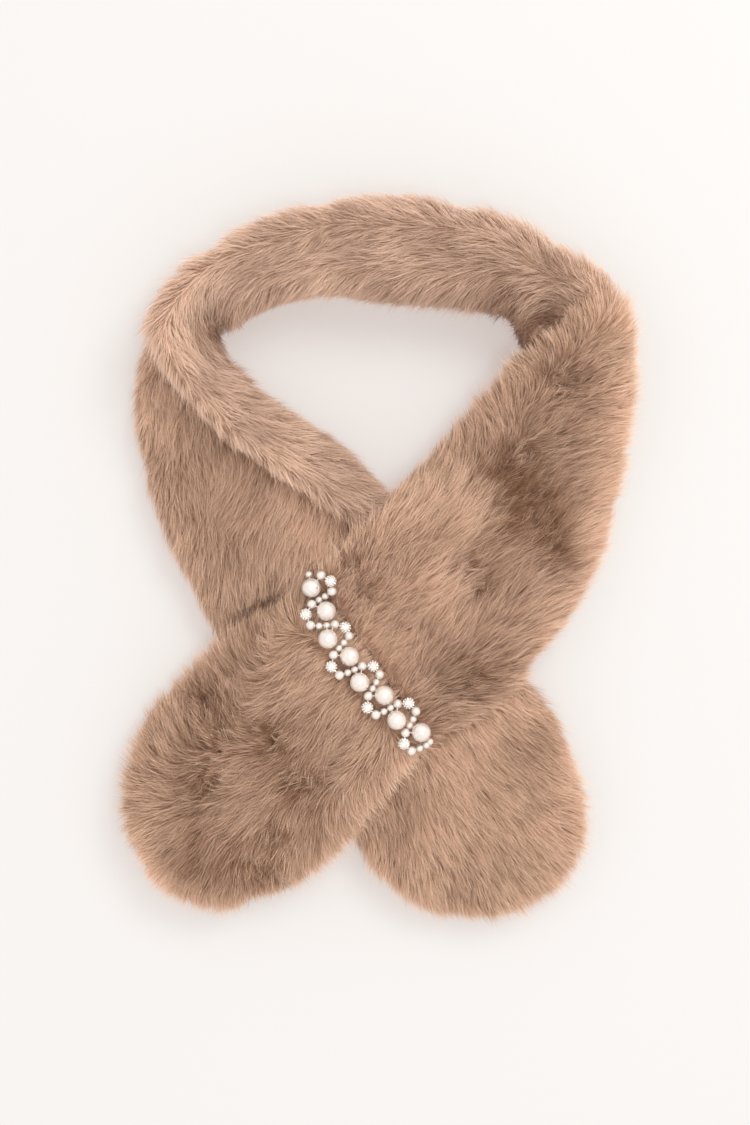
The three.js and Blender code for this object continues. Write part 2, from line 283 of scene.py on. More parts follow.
def away_from_crease(places, crease):
    """How far each point lies from a crease's line, seen from above, and how far along it."""
    start = np.array((crease["from_x"], crease["from_y"])) * MM
    run = np.array((crease["to_x"], crease["to_y"])) * MM - start
    along = np.clip((places[:, :2] - start) @ run / (run @ run), 0, 1)
    return np.linalg.norm(places[:, :2] - start - along[:, None] * run, axis=1), along


def creased(places, facing, crease):
    """The crease's depth at each point: soft and uneven, gone at both its ends and underneath."""
    away, along = away_from_crease(places, crease)
    swell = 0.3 + 0.7 * np.sin(math.pi * along)
    uneven = swell * (1 + 0.25 * np.sin(9 * along + crease["from_x"]))
    share = np.exp(-((away / (crease["width"] * MM)) ** 2)) * smooth_step(facing[:, 2], -0.5, 0)
    return share * uneven * crease["depth"]


def under_strap(places):
    """1 under the middle of the strap of pearls, falling off to either side, seen from above."""
    near = np.full(len(places), np.inf)
    for start, end in zip(STRAP, STRAP[1:]):
        run = dict(zip(CREASE, (*start, *end)))
        near = np.minimum(near, away_from_crease(places, run)[0])
    return np.exp(-((near / HELD_WIDTH) ** 2))


def beside(node):
    """The solid forms of the other stretches."""
    return [tree for name, tree in SOLIDS.items() if name != node]


def draw_in(mesh, node, creases):
    """Draws the skin in by the depth of its pile, and presses the creases into it."""
    places, facing, edges = read_skin(mesh)
    facing = evened(facing, edges, 4)
    facing /= np.linalg.norm(facing, axis=1)[:, None]
    faces = [tuple(face.vertices) for face in mesh.polygons]
    inside = BVHTree.FromPolygons([tuple(place) for place in places], faces)
    others = beside(node)
    pressed = smooth_step(-facing[:, 2], 0.35, 0.85)
    held = under_strap(places) * smooth_step(facing[:, 2], -0.2, 0.4)
    edge = 1 - smooth_step(np.abs(facing[:, 2]), 0.2, 0.7)
    depth = PILE_DEPTH + (EDGE_DEPTH - PILE_DEPTH) * edge
    depth += (PRESSED_DEPTH - PILE_DEPTH) * pressed + (HELD_DEPTH - PILE_DEPTH) * held
    for i, (place, normal) in enumerate(zip(places, facing)):
        hit = inside.ray_cast(Vector(place - normal * MM), Vector(-normal))
        through = hit[3] if hit[3] else 0
        start, out = Vector(place - normal * TOUCHING / 2), Vector(normal)
        if any(tree.ray_cast(start, out, TOUCHING * 1.5)[0] for tree in others):
            depth[i] = TOUCHING_DEPTH
        depth[i] = min(depth[i], MOST_THROUGH * through)
    depth = evened(depth, edges, 4)
    places = places - facing * depth[:, None]
    for crease in creases:
        places = places - facing * creased(places, facing, crease)[:, None] * MM
    places = evened(places, edges, 3)
    places[:, 2] = np.maximum(places[:, 2], LOWEST_SKIN)
    mesh.vertices.foreach_set("co", places.ravel())
    mesh.update()


def open_sky(others, place, normal):
    """The shares of the air round one point that nothing fills, and that other stretches fill."""
    free, touched = 0, 0
    side = normal.orthogonal().normalized()
    other = normal.cross(side)
    directions = [normal] + [
        (normal * SIGHT_RISE + side * math.cos(a) + other * math.sin(a)).normalized()
        for a in (i * math.tau / SIGHT_WAYS for i in range(SIGHT_WAYS))
    ]
    for direction in directions:
        start = place + normal * PILE_DEPTH * 0.7
        if direction.z < -0.25 and start.z < -direction.z * TABLE_NEAR * MM:
            continue
        blocked = any(tree.ray_cast(start, direction, SIGHT)[0] for tree in others)
        free += not blocked
        touched += blocked
    return free / len(directions), touched / len(directions)


def put(mesh, name, kind, values):
    """Writes an attribute, with one value for each point of the mesh."""
    field = "vector" if kind == "FLOAT_VECTOR" else "value"
    attribute = mesh.attributes.new(name, kind, "POINT")
    attribute.data.foreach_set(field, np.asarray(values, float).ravel())


def comb_the_skin(mesh, node, zones, swirls, creases):
    """Writes how the fur grows at each point: which way, how matted, thick, long and light, with
    painted shade in the creases and painted light along the outline.
    """
    places, facing, edges = read_skin(mesh)
    combed = np.zeros((len(places), 2))
    tone = np.zeros(len(places))
    weights = np.zeros(len(places))
    for zone in rows_of(ZONE, zones):
        gap = places[:, :2] - np.array((zone["x"], zone["y"])) * MM
        weight = 1 / (np.sum(gap * gap, axis=1) + ZONE_REACH ** 2) ** 2
        angle = math.radians(zone["combed"])
        combed += weight[:, None] * np.array((math.cos(angle), math.sin(angle)))
        tone += weight * zone["tone"]
        weights += weight
    combed /= weights[:, None]
    tone /= weights
    matted = np.zeros(len(places))
    for swirl in rows_of(SWIRL, swirls):
        gap = places[:, :2] - np.array((swirl["x"], swirl["y"])) * MM
        reach = np.linalg.norm(gap, axis=1) / (swirl["radius"] * MM)
        share = np.exp(-reach * reach)
        around = np.stack((-gap[:, 1], gap[:, 0]), axis=1) / (swirl["radius"] * MM)
        kept = 1 - share * min(1, abs(swirl["turn"]))
        combed = combed * kept[:, None] + around * (share * swirl["turn"])[:, None]
        tone += share * swirl["tone"]
        matted = np.maximum(matted, share)
    bent = np.zeros(len(places))
    for crease in creases:
        depth = creased(places, facing, crease)
        # painted shade: the fur is coloured darker down in each crease
        tone -= CREASE_PAINTED_SHADE * np.maximum(depth, 0)
        bent = np.maximum(bent, np.minimum(np.abs(depth), MOST_BENT))
    steep = 2.2 - 1.2 * np.abs(facing[:, 2])
    droop = -DROOP * smooth_step(places[:, 2], *DROOP_HEIGHTS) * steep
    comb = np.column_stack((combed, droop))
    comb -= facing * np.sum(comb * facing, axis=1)[:, None]
    others = beside(node)
    sky = np.array([open_sky(others, Vector(p), Vector(n)) for p, n in zip(places, facing)])
    sky = evened(sky, edges, 2)
    growth = 0.05 + 0.95 * smooth_step(sky[:, 0], 0.1, 0.5)
    away = places[:, :2] - np.array(NECK_CENTRE)
    outward = np.sum(away * facing[:, :2], axis=1) / np.linalg.norm(away, axis=1)
    # painted light: the fur is coloured lighter along its outline, most of all along the outer
    # outline
    rim = (1 - np.abs(facing[:, 2])) * smooth_step(facing[:, 2], -0.4, 0.1)
    tone += rim * (OPENING_PAINTED_LIGHT + (EDGE_PAINTED_LIGHT - OPENING_PAINTED_LIGHT) * smooth_step(outward, -0.1, 0.5))
    pile = 1 - 0.5 * smooth_step(-facing[:, 2], 0.3, 0.9)
    pile *= (1 - (1 - HELD_PILE) * under_strap(places)) * (1 - BENT_PILE * bent)
    hemmed = smooth_step(sky[:, 1], 0.15, 0.6) * (1 - smooth_step(facing[:, 2], 0.1, 0.6))
    pile *= 1 - (1 - HEMMED_PILE) * hemmed
    put(mesh, "comb", "FLOAT_VECTOR", comb)
    put(mesh, "tone", "FLOAT", tone)
    put(mesh, "matted", "FLOAT", matted)
    put(mesh, "growth", "FLOAT", growth)
    put(mesh, "pile", "FLOAT", pile)
    return growth


def lock_mesh(name, seed):
    """One lock of fur: a few tapered strands that lean along +X."""
    chance = np.random.default_rng(seed)
    points, faces, along, across, shade = [], [], [], [], []
    for _ in range(LOCK_STRANDS):
        angle = chance.uniform(0, math.tau)
        distance = LOCK_WIDTH / 2 * math.sqrt(chance.uniform(0, 1))
        root = np.array((distance * math.cos(angle), distance * math.sin(angle), 0))
        length = LOCK_LENGTH * chance.uniform(*STRAND_SHARES)
        rise = math.radians(chance.uniform(*ROOT_RISE))
        fall = math.radians(chance.uniform(*TIP_RISE))
        sway = chance.uniform(-STRAND_SWAY, STRAND_SWAY)
        twist = chance.uniform(-STRAND_TWIST, STRAND_TWIST)
        tint = chance.uniform(-1, 1)
        place, last, first = root.copy(), 0.0, len(points)
        for step, width in zip(STRAND_STEPS, STRAND_TAPER):
            lean = rise + (fall - rise) * (step + last) / 2
            stride = (step - last) * length
            place = place + np.array((math.cos(lean), sway * step, math.sin(lean))) * stride
            last = step
            half = STRAND_WIDTH / 2 * width * np.array((0, math.cos(twist), math.sin(twist)))
            for side in ((-1, 1) if width else (0,)):
                points.append(tuple(place + half * side))
                along.append(step)
                across.append(side)
                shade.append(tint)
        faces.append((first, first + 1, first + 3, first + 2))
        faces.append((first + 2, first + 3, first + 4))
    mesh = bpy.data.meshes.new(name)
    mesh.from_pydata(points, [], faces)
    mesh.polygons.foreach_set("use_smooth", [True] * len(faces))
    put(mesh, "along", "FLOAT", along)
    put(mesh, "across", "FLOAT", across)
    put(mesh, "shade", "FLOAT", shade)
    return mesh


LOCKS = bpy.data.collections.new("locks_of_fur")
for kind in range(LOCK_KINDS):
    lock = lock_mesh(f"lock_{kind}", FUR_SEED + kind)
    LOCKS.objects.link(bpy.data.objects.new(lock.name, lock))


def node_of(tree, kind, **settings):
    """A node of that kind, with its own settings and its inputs."""
    node = tree.nodes.new(kind)
    for key, value in settings.items():
        if hasattr(node, key):
            setattr(node, key, value)
        else:
            set_inputs(node, **{key: value})
    return node


def new_tree(name, inputs, output):
    """A tree of geometry nodes with inputs of those names and kinds, and what they are given."""
    tree = bpy.data.node_groups.new(name, "GeometryNodeTree")
    for label, kind in inputs.items():
        tree.interface.new_socket(label, in_out="INPUT", socket_type="NodeSocket" + kind)
    tree.interface.new_socket(output, in_out="OUTPUT", socket_type="NodeSocketGeometry")
    return tree, node_of(tree, "NodeGroupInput").outputs


def pile_tree():
    """Geometry nodes that grow locks of fur on a backing, combed and toned as its points say."""
    inputs = {
        "Backing": "Geometry",
        "Locks": "Collection",
        "Finish": "Material",
        "Locks a square metre": "Float",
        "Clump size": "Float",
        "Clump turn": "Float",
        "Lay flat": "Float",
        "Strand contrast": "Float",
        "Seed": "Int",
    }
    tree, given = new_tree("fur_pile", inputs, "Fur")

    def named(name, kind="FLOAT"):
        node = node_of(tree, "GeometryNodeInputNamedAttribute", data_type=kind, Name=name)
        return node.outputs["Attribute"]

    def sums(operation, first, second):
        node = node_of(tree, "ShaderNodeMath", operation=operation)
        feed(node.inputs[0], first)
        feed(node.inputs[1], second)
        return node.outputs["Value"]

    def times(first, second):
        return sums("MULTIPLY", first, second)

    def plus(first, second):
        return sums("ADD", first, second)

    def drawn(low, high, offset):
        """A number drawn for each lock."""
        seed = plus(given["Seed"], offset)
        node = node_of(tree, "FunctionNodeRandomValue", data_type="FLOAT", Seed=seed)
        node.inputs[2].default_value = low
        node.inputs[3].default_value = high
        return node.outputs[1]

    def waves(size_share, amount):
        """Soft waves over the fur, their size a share of a clump's, as much below 0 as above."""
        scale = sums("DIVIDE", 1.0, times(given["Clump size"], size_share))
        noise = node_of(tree, "ShaderNodeTexNoise", Scale=scale, Detail=1.0)
        return times(sums("SUBTRACT", noise.outputs["Fac"], 0.5), amount)

    # Where the locks grow, and how light each one is
    density = times(named("growth"), given["Locks a square metre"])
    scatter = node_of(
        tree, "GeometryNodeDistributePointsOnFaces", distribute_method="RANDOM",
        Mesh=given["Backing"], Density=density, Seed=given["Seed"])
    patches = plus(waves(1.2, 0.6), waves(0.5, 0.5))
    flecks = plus(drawn(-0.1, 0.1, 1), times(named("matted"), drawn(-0.9, 0.8, 7)))
    toned = node_of(
        tree, "GeometryNodeStoreNamedAttribute", data_type="FLOAT", domain="POINT",
        Geometry=scatter.outputs["Points"], Name="tone",
        Value=plus(named("tone"), plus(patches, flecks)))

    # Each lock lies along the comb, and strays from it
    upright = node_of(
        tree, "FunctionNodeAlignRotationToVector", axis="Z", Vector=scatter.outputs["Normal"])
    laid = node_of(
        tree, "FunctionNodeAlignRotationToVector", axis="X", pivot_axis="Z",
        Rotation=upright.outputs["Rotation"], Vector=named("comb", "FLOAT_VECTOR"))
    fine_turn = plus(times(given["Clump turn"], 0.8), times(named("matted"), 2.0))
    turn = plus(waves(1.0, given["Clump turn"]), waves(0.28, fine_turn))
    lift = plus(drawn(-0.22, 0.1, 3), given["Lay flat"])
    matted_lift = times(named("matted"), drawn(-0.7, 0.1, 9))
    matted_turn = times(named("matted"), drawn(-1.1, 1.1, 8))
    stray = node_of(
        tree, "ShaderNodeCombineXYZ", X=drawn(-0.25, 0.25, 2), Y=plus(matted_lift, lift),
        Z=plus(turn, plus(matted_turn, drawn(-0.18, 0.18, 4))))
    euler = node_of(tree, "FunctionNodeEulerToRotation", Euler=stray.outputs["Vector"])
    tousled = node_of(
        tree, "FunctionNodeRotateRotation", rotation_space="LOCAL",
        Rotation=laid.outputs["Rotation"], Rotate_By=euler.outputs["Rotation"])

    # Which lock it is, and how long
    short = sums("SUBTRACT", 1.0, times(named("matted"), 0.3))
    length = times(times(named("pile"), short), drawn(*LOCK_SIZES, 5))
    size = node_of(tree, "ShaderNodeCombineXYZ", X=length, Y=1.0, Z=length)
    kinds = node_of(
        tree, "GeometryNodeCollectionInfo", Collection=given["Locks"],
        Separate_Children=True, Reset_Children=True)
    pick = node_of(
        tree, "FunctionNodeRandomValue", data_type="INT", Seed=plus(given["Seed"], 6))
    pick.inputs[4].default_value = 0
    pick.inputs[5].default_value = LOCK_KINDS - 1
    grow = node_of(
        tree, "GeometryNodeInstanceOnPoints", Points=toned.outputs["Geometry"],
        Pick_Instance=True, Instance=kinds.outputs["Instances"], Instance_Index=pick.outputs[2],
        Rotation=tousled.outputs["Rotation"], Scale=size.outputs["Vector"])
    real = node_of(tree, "GeometryNodeRealizeInstances", Geometry=grow.outputs["Instances"])

    # No tip goes down into the table
    position = node_of(tree, "GeometryNodeInputPosition").outputs["Position"]
    place = node_of(tree, "ShaderNodeSeparateXYZ", Vector=position)
    above = node_of(
        tree, "ShaderNodeCombineXYZ", X=place.outputs["X"], Y=place.outputs["Y"],
        Z=sums("MAXIMUM", place.outputs["Z"], LOWEST_TIP))
    rest = node_of(
        tree, "GeometryNodeSetPosition", Geometry=real.outputs["Geometry"],
        Position=above.outputs["Vector"])

    # The strands' own chart: how light they are, and how far up
    strand = times(named("shade"), given["Strand contrast"])
    shaded = node_of(
        tree, "ShaderNodeClamp", Value=plus(named("tone"), strand), Min=0.01, Max=0.99)
    chart = node_of(
        tree, "ShaderNodeCombineXYZ",
        X=plus(shaded.outputs["Result"], times(named("across"), 0.005)),
        Y=plus(times(named("along"), 0.96), 0.02))
    charted = node_of(
        tree, "GeometryNodeStoreNamedAttribute", data_type="FLOAT2", domain="CORNER",
        Geometry=rest.outputs["Geometry"], Name="OFBake", Value=chart.outputs["Vector"])
    finish = node_of(
        tree, "GeometryNodeSetMaterial", Geometry=charted.outputs["Geometry"],
        Material=given["Finish"])
    node_of(tree, "NodeGroupOutput", Fur=finish.outputs["Geometry"])
    return tree


PILE_TREE = pile_tree()


def srgb(red, green, blue):
    """A colour given as a screen shows it, in the shader's own linear values."""
    parts = [value / 255 for value in (red, green, blue)]
    return (*[p / 12.92 if p <= 0.04045 else ((p + 0.055) / 1.055) ** 2.4 for p in parts], 1)


def ramp_of(tree, factor, stops):
    """A ramp of colours, each at its place from 0 to 1 of the factor."""
    ramp = node_of(tree, "ShaderNodeValToRGB", Fac=factor)
    ramp.color_ramp.elements[0].position, ramp.color_ramp.elements[0].color = stops[0]
    ramp.color_ramp.elements[1].position, ramp.color_ramp.elements[1].color = stops[-1]
    for position, colour in stops[1:-1]:
        ramp.color_ramp.elements.new(position).color = colour
    return ramp.outputs["Color"]


def fur_finish(name, dark, light):
    """Satin fibres, darker at the root than at the tip. Their own chart gives height and
    lightness, and the lightness also carries painted shade and painted light.
    """
    material, shader = principled(name)
    tree = material.node_tree
    chart = node_of(tree, "ShaderNodeUVMap", uv_map="OFBake")
    split = node_of(tree, "ShaderNodeSeparateXYZ", Vector=chart.outputs["UV"])
    heights = (0.0, 0.45, 0.8, 1.0)
    blend = node_of(tree, "ShaderNodeMix", data_type="RGBA")
    feed(blend.inputs[0], split.outputs["X"])
    feed(blend.inputs[6], ramp_of(tree, split.outputs["Y"], list(zip(heights, dark))))
    feed(blend.inputs[7], ramp_of(tree, split.outputs["Y"], list(zip(heights, light))))
    set_inputs(shader, Base_Color=blend.outputs[2], Roughness=0.62, Specular_IOR_Level=0.25)
    set_inputs(shader, Sheen_Weight=0.25, Sheen_Roughness=0.4)
    return material


def patterned(name, kind, output, stops, **sizes):
    """A material coloured by one texture on its own place, with its shader and that texture."""
    material, shader = principled(name)
    tree = material.node_tree
    place = node_of(tree, "ShaderNodeTexCoord")
    texture = node_of(tree, kind, Vector=place.outputs["Object"], **sizes)
    set_inputs(shader, Base_Color=ramp_of(tree, texture.outputs[output], stops))
    return material, shader, texture


def backing_finish():
    """The woven backing and the short undercoat on it, seen only where the fur parts."""
    stops = [(0.3, srgb(150, 116, 96)), (0.7, srgb(190, 154, 131))]
    material, shader, noise = patterned(
        "backing_cloth", "ShaderNodeTexNoise", "Fac", stops, Scale=900.0, Detail=3.0)
    bump = node_of(
        material.node_tree, "ShaderNodeBump", Strength=0.6, Distance=0.6 * MM,
        Height=noise.outputs["Fac"])
    set_inputs(shader, Roughness=0.95, Normal=bump.outputs["Normal"])
    return material


FUR_FACE = fur_finish(
    "fur_face",
    dark=(srgb(102, 69, 49), srgb(127, 89, 65), srgb(152, 111, 83), srgb(172, 130, 100)),
    light=(srgb(209, 171, 143), srgb(231, 194, 166), srgb(246, 212, 186), srgb(254, 229, 206)),
)
BACKING_CLOTH = backing_finish()


def grown(host, tree, values, name):
    """The mesh that the node tree, with those values, makes of the host."""
    nodes = host.modifiers.new("nodes", "NODES")
    nodes.node_group = tree
    for socket in tree.interface.items_tree:
        if socket.name in values:
            nodes[socket.identifier] = values[socket.name]
    mesh = plain_mesh(host, name)
    host.modifiers.remove(nodes)
    return mesh


def skin_area(mesh, growth):
    """The skin's area, each face counted by how thick its fur grows."""
    return sum(face.area * np.mean([growth[v] for v in face.vertices]) for face in mesh.polygons)


def fur_stretch(
    node, finish, locks, zones,
    swirls=(), creases=(), clump_turn=1.0, lay_flat=0.0, contrast=0.33,
):
    """One stretch of the strip: its backing drawn in from the solid's form, and the fur on it."""
    creases = rows_of(CREASE, creases)
    mesh = even_skin(node)
    draw_in(mesh, node, creases)
    growth = comb_the_skin(mesh, node, zones, swirls, creases)
    mesh.materials.append(BACKING_CLOTH)
    backing = new_piece(node + "_backing", mesh)
    values = {
        "Locks": LOCKS,
        "Finish": finish,
        "Locks a square metre": locks / skin_area(mesh, growth),
        "Clump size": CLUMP_SIZE,
        "Clump turn": clump_turn,
        "Lay flat": lay_flat,
        "Strand contrast": contrast,
        "Seed": FUR_SEED,
    }
    fur = new_piece(node + "_fur", grown(backing, PILE_TREE, values, node + "_fur"))
    wall = backing.modifiers.new("wall", "SOLIDIFY")
    wall.thickness = BACKING_THICKNESS
    wall.offset = -1
    for piece in (backing, fur):
        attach(piece, "root")
        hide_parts(node)


fur_stretch(
    "left_front", FUR_FACE, locks=5000,
    swirls=(
        # painted shade: a dark spot at the strap's upper end, and a dark line along the slit
        # where the upper tail lies over this stretch
        (-31, -9.6, 3, 0, -0.8),
        (-73, -31.5, 4, 0, -0.5),
        (-66, -29, 4, 0, -0.8),
        (-59, -26.5, 4, 0, -0.8),
        (-52, -24, 4, 0, -0.8),
        (-45, -21, 4, 0, -0.6),
        (-56, -22, 8, 0, -0.15),
    ),
    creases=(
        (-88, 28, -72, 12, 5, 3),
        (-104, -2, -96, -12, 6, 2),
        (-122, 60, -104, 50, 7, 2.5),
        (-60, 0, -44, -12, 6, 2),
        (-124, 114, -127, 66, 10, -3.5),
        (-80, -29, -38, -14, 8, 4.5),
        (-26, 22, -14, 6, 6, -3.5),
    ),
    zones=(
        # Some rows paint light and shade: lighter beside the lapel's tip and along the lapel, to
        # thin the shadow that it casts, and darker along the slit above the upper tail.
        (-120, 54, -100, 0.59),
        (-106, 35, -65, 0.52),
        (-94, 58, -75, 0.56),
        (-69, 31, -120, 0.55),
        (-51, 16, -110, 0.58),
        (-36, 24, -110, 0.99),
        (-19, 14, -100, 1.4),
        (-76, 8, -85, 0.47),
        (-78, -11, -82, 0.6),
        (-54, -10, -90, 0.64),
        (-41, -2, -98, 0.8),
        (-92, -25, -75, 0.6),
        (-66, -28, -85, 0.4),
        (-45, -20, -85, 0.5),
        (-30, -20, -100, 0.72),
        (-115, 80, -80, 0.81),
    ),
)

# The fur strip, lower tail
# The same strip goes on under the crossing and comes out at the lower right, flat and evenly
# combed towards its rounded end.

fur_stretch(
    "under_tail", FUR_FACE, locks=5000,
    creases=(
        (60, -130, 84, -120, 8, 2),
        (40, -160, 36, -184, 9, 2),
        (96, -90, 104, -108, 9, 2),
        (0, -140, 14, -152, 7, 2),
        (-7, -158, 6, -170, 7, -2),
    ),
    zones=(
        (52, -125, -50, 0.75),
        (103, -125, -25, 0.81),
        (70, -160, -50, 0.61),
        (44, -176, -65, 0.56),
        (-6, -159, -90, 0.72),
        (76, -97, -40, 0.5),
        (98, -100, -30, 0.99),
        (72, -70, -45, 0.81),
        (40, -95, -55, 0.85),
        (28, -137, -60, 0.9),
        (42, -152, -60, 0.52),
        (10, -130, -70, 0.5),
    ),
)

# The back of the neck and the lapel
# Behind the neck the strip is folded in two along its length, its two layers parted by a groove.
# It turns over at the left shoulder and runs down as a lapel, with the lighter inner fur out.

FUR_INNER = fur_finish(
    "fur_inner",
    dark=(srgb(121, 90, 71), srgb(139, 105, 84), srgb(157, 120, 97), srgb(173, 135, 110)),
    light=(srgb(214, 180, 155), srgb(232, 198, 174), srgb(244, 212, 189), srgb(253, 228, 207)),
)

fur_stretch(
    "back_neck", FUR_INNER, locks=8100,
    lay_flat=0.2,
    zones=(
        (-51, 179, 165, 0.65),
        (2, 179, 168, 0.67),
        (46, 169, 163, 0.63),
        (70, 161, 157, 0.63),
        (88, 161, 142, 0.6),
        (106, 150, 128, 0.65),
        (114, 138, 118, 0.79),
        (132, 112, 45, 0.61),
        (-8, 165, 192, 0.5),
        (34, 164, 185, 0.55),
        (-25, 152, 203, 0.8),
        (11, 152, 195, 0.74),
        (41, 148, 185, 0.6),
        (82, 137, 165, 0.55),
        (96, 132, 150, 0.58),
        # painted light: lighter along the band's outer outline at the left shoulder
        (-77, 164, 205, 1.15),
        (-99, 145, 228, 1.02),
        (-111, 129, 245, 1.15),
        (-109, 112, 264, 1.15),
        (-86, 86, 298, 0.66),
        (-58, 152, 195, 0.5),
        (-36, 152, 192, 0.55),
        (-98, 95, 282, 0.95),
        (-85, 112, 285, 0.46),
        (-84, 122, 280, 0.4),
        (-60, 133, 240, 0.56),
        (-25, 138, 225, 0.85),
        (11, 135, 222, 0.48),
        (45, 138, 240, 0.5),
        # painted shade: darker in the pocket at the right shoulder, where the band meets the
        # right front
        (66, 125, 255, 0.13),
        (72, 113, 260, 0.13),
        (90, 119, 170, -0.12),
        (-74, 78, 306, 0.63),
        (-46, 80, 322, 0.67),
        (-69, 63, 310, 0.67),
        # painted light: lighter along the lapel's lower outline
        (-92, 66, 284, 1.5),
        (-70, 38, 286, 1.5),
        (-46, 20, 288, 1.4),
        (-18, 53, 342, 0.55),
        (-7, 21, 320, 0.55),
        (-36, 30, 300, 0.58),
    ),
    swirls=(
        # painted shade: dark pockets at both shoulders, where the band tucks under the lapel and
        # meets the right front
        (-81, 119, 8, 0, -0.3),
        (-78, 104, 5, 0, -0.3),
        (-68, 93, 5, 0, -0.25),
        (90, 115.5, 6, 0, -0.7),
        (82, 108, 6, 0, -0.5),
        (70, 116, 9, 0, -0.45),
        (68, 107, 7, 0, -0.4),
        (95, 119, 5, 0, -0.5),
    ),
    creases=(
        (-75, 150, -98, 168, 9, 2.5),
        (-20, 148, -26, 186, 8, 2.5),
        (38, 150, 44, 184, 9, 2.5),
        (84, 140, 96, 170, 8, 2),
        (58, 128, 70, 118, 7, 3),
        (-84, 98, -104, 90, 7, 2),
        (-60, 62, -72, 46, 7, 2),
        (-74, 115, -31, 133, 8, -2.5),
        (-62, 90, -25, 66, 8, 3),
        (104, 149, 122, 133, 10, -3.5),
        (-89, 129, -77, 111, 5, 5),
        (78, 104, 97, 121, 5, 4),
        (-70, 171, -100, 150, 8, -1.5),
        (60, 119, 84, 98, 9, -16),
        (-106, 98, -76, 60, 6, -2.5),
        (-82, 64, -40, 36, 6, -2.5),
        (-72, 143, -36, 154, 4, 2.5),
        (-30, 156, 10, 158, 4, 2.5),
        (20, 157, 62, 149, 4, 2),
    ),
    clump_turn=0.9,
    contrast=0.22,
)

# The fur strip, right front
# From the right shoulder the strip comes down across the front, over everything else, and is
# gathered narrow where the pearls go round it.

fur_stretch(
    "right_front", FUR_FACE, locks=8100,
    zones=(
        # Some rows paint light: lighter along the outer outline on the right, and beside the
        # strap, where the fur lies in the pearls' shade.
        (77, 99, 120, 0.72),
        (86, 108, 105, 0.66),
        (99, 118, 112, 0.6),
        (106, 124, 115, 0.64),
        (115, 113, 72, 0.67),
        (117, 131, 112, 0.68),
        (124, 120, 65, 0.75),
        (123, 90, 32, 0.85),
        (111, 102, 48, 0.6),
        (94, 92, 62, 0.53),
        (94, 78, 46, 0.48),
        (117, 69, 28, 0.9),
        (133, 56, 25, 1.17),
        (82, 66, 58, 0.63),
        (58, 66, 105, 0.7),
        (40, 54, 80, 0.58),
        (28, 43, 63, 0.6),
        (46, 25, 46, 0.77),
        (22, 13, 48, 0.76),
        (105, 43, 37, 0.77),
        (117, 31, 32, 1.03),
        (107, -21, 38, 0.72),
        (78, -63, 22, 0.5),
        (60, -20, 58, 0.46),
        (11, -27, 42, 0.85),
        (-13, -9, 50, 0.77),
        (40, -55, 52, 0.4),
        (88, 60, 46, 0.54),
        (78, 14, 46, 0.15),
        (88, 2, 44, 0.18),
        (92, 24, 34, 0.45),
        (62, 8, 40, 0.32),
        (58, 34, 45, 0.02),
        (62, -50, 46, 0.45),
        (110, 5, 33, 1.08),
        (101, 13, 33, 0.85),
        (4, -44, 42, 0.99),
        (22, -42, 70, 0.72),
        (36, 34, 52, 0.68),
        (38, -32, 76, 0.62),
        (30, -20, 50, 0.95),
        (78, -28, 50, 0.6),
        (48, -68, 18, 0.35),
    ),
    swirls=(
        (73, 50, 10, 0, -0.2),
        (84, 4, 10, 0, -0.3),
        (90, 86, 8, 0, -0.2),
        (-14, -6, 6, 0, -0.3),
        (-8, -20, 6, 0, -0.2),
        (42, -5, 5, 0, -0.35),
        (49, -15, 4, 0, -0.45),
        (44, -23, 4, 0, -0.5),
        (44, -61, 6, 0, -0.25),
        (72, 24, 14, 0.4, -0.6),
        (66, 42, 9, 0, -0.3),
        # painted shade: the pocket at the right shoulder, beside the band's end
        (70, 103, 6, 0, -0.4),
        (80, 109, 5, 0, -0.5),
        (90, 115, 5, 0, -0.5),
    ),
    creases=(
        (76, 95, 112, 74, 5, 1.5),
        (96, 73, 112, 66, 5, 2.5),
        (38, 43, 60, 40, 5, 2.5),
        (42, -16, 46, -28, 5, 3),
        (20, 6, -6, -12, 6, 2),
        (90, 30, 120, 22, 8, 2),
        (70, -50, 98, -60, 8, 2),
        (104, 100, 128, 104, 8, 2),
        (10, 41, 31, 61, 7, -2),
        (68, 106, 92, 119, 6, 6),
    ),
    clump_turn=1.2,
)

# The fur strip, upper tail
# Past the pearls the strip widens again into its rounded end, which lies over the other tail.
# Handling has left its pile in swirls.

